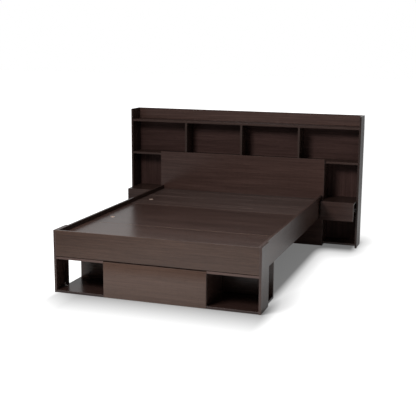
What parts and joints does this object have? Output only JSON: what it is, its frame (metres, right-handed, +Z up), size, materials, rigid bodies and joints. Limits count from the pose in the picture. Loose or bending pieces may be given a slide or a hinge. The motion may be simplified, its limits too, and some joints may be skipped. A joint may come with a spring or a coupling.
{
  "type": "platform storage bed",
  "caption": "Platform bed with a foot unit holding a drawer and open cubbies, side rails, a panel deck, and a wide bookcase headboard with bedside drawers.",
  "frame": {"origin": "on the floor, at the centre of the whole outline", "axes": "+X across the bed towards the sleeper's left, +Y from the foot to the headboard, +Z up"},
  "size_m": [2.012, 2.117, 1.087],
  "materials": {
    "laminate": "dark brown wood-grain laminate, satin",
    "deck_laminate": "dark brown wood-grain laminate, semi-gloss",
    "drawer_laminate": "dark brown foil-wrapped board, matt",
    "hardboard": "thin printed hardboard, matt",
    "softwood": "planed softwood",
    "coated_steel": "brown epoxy coating",
    "zinc_steel": "zinc plated",
    "black_plastic": "moulded"
  },
  "bodies": {
    "bed_frame": {"backrest_panel": "laminate", "bedside_runners": "coated_steel", "bedside_top_left": "laminate", "bedside_top_right": "laminate", "cam_fittings": "zinc_steel", "center_beam": "laminate", "center_legs": "softwood", "corner_brackets": "zinc_steel", "deck_panel_foot": "deck_laminate", "deck_panel_head": "deck_laminate", "deck_panel_middle": "deck_laminate", "divider_center": "laminate", "divider_left": "laminate", "divider_right": "laminate", "end_ledgers": "softwood", "foot_back_panel": "laminate", "foot_bottom_panel": "laminate", "foot_drawer_runners": "coated_steel", "foot_partition_left": "laminate", "foot_partition_right": "laminate", "foot_top_panel": "laminate", "foot_upright_left": "laminate", "foot_upright_right": "laminate", "front_rail": "laminate", "gallery_board": "laminate", "glides": "black_plastic", "headboard_lower_shelf": "laminate", "headboard_partition_left": "laminate", "headboard_partition_right": "laminate", "headboard_side_left": "laminate", "headboard_side_right": "laminate", "headboard_top_shelf": "laminate", "ledger_left": "softwood", "ledger_right": "softwood", "niche_back_left": "hardboard", "niche_back_right": "hardboard", "niche_floor_left": "laminate", "niche_floor_right": "laminate", "side_rail_left": "laminate", "side_rail_right": "laminate", "upper_back": "hardboard"},
    "foot_drawer": {"foot_drawer_back": "drawer_laminate", "foot_drawer_bottom": "hardboard", "foot_drawer_front": "laminate", "foot_drawer_side_left": "drawer_laminate", "foot_drawer_side_right": "drawer_laminate", "foot_drawer_slides": "coated_steel"},
    "bedside_drawer_left": {"bedside_drawer_left_back": "drawer_laminate", "bedside_drawer_left_bottom": "hardboard", "bedside_drawer_left_front": "laminate", "bedside_drawer_left_side_inner": "drawer_laminate", "bedside_drawer_left_side_outer": "drawer_laminate", "bedside_drawer_left_slides": "coated_steel"},
    "bedside_drawer_right": {"bedside_drawer_right_back": "drawer_laminate", "bedside_drawer_right_bottom": "hardboard", "bedside_drawer_right_front": "laminate", "bedside_drawer_right_side_inner": "drawer_laminate", "bedside_drawer_right_side_outer": "drawer_laminate", "bedside_drawer_right_slides": "coated_steel"}
  },
  "joints": [
    {"name": "foot_drawer_pull", "type": "slide", "parent": "bed_frame", "child": "foot_drawer", "axis": [0, -1, 0], "range_m": [0, 0.25]},
    {"name": "bedside_drawer_left_pull", "type": "slide", "parent": "bed_frame", "child": "bedside_drawer_left", "axis": [0, -1, 0], "range_m": [0, 0.1]},
    {"name": "bedside_drawer_right_pull", "type": "slide", "parent": "bed_frame", "child": "bedside_drawer_right", "axis": [0, -1, 0], "range_m": [0, 0.1]}
  ]
}
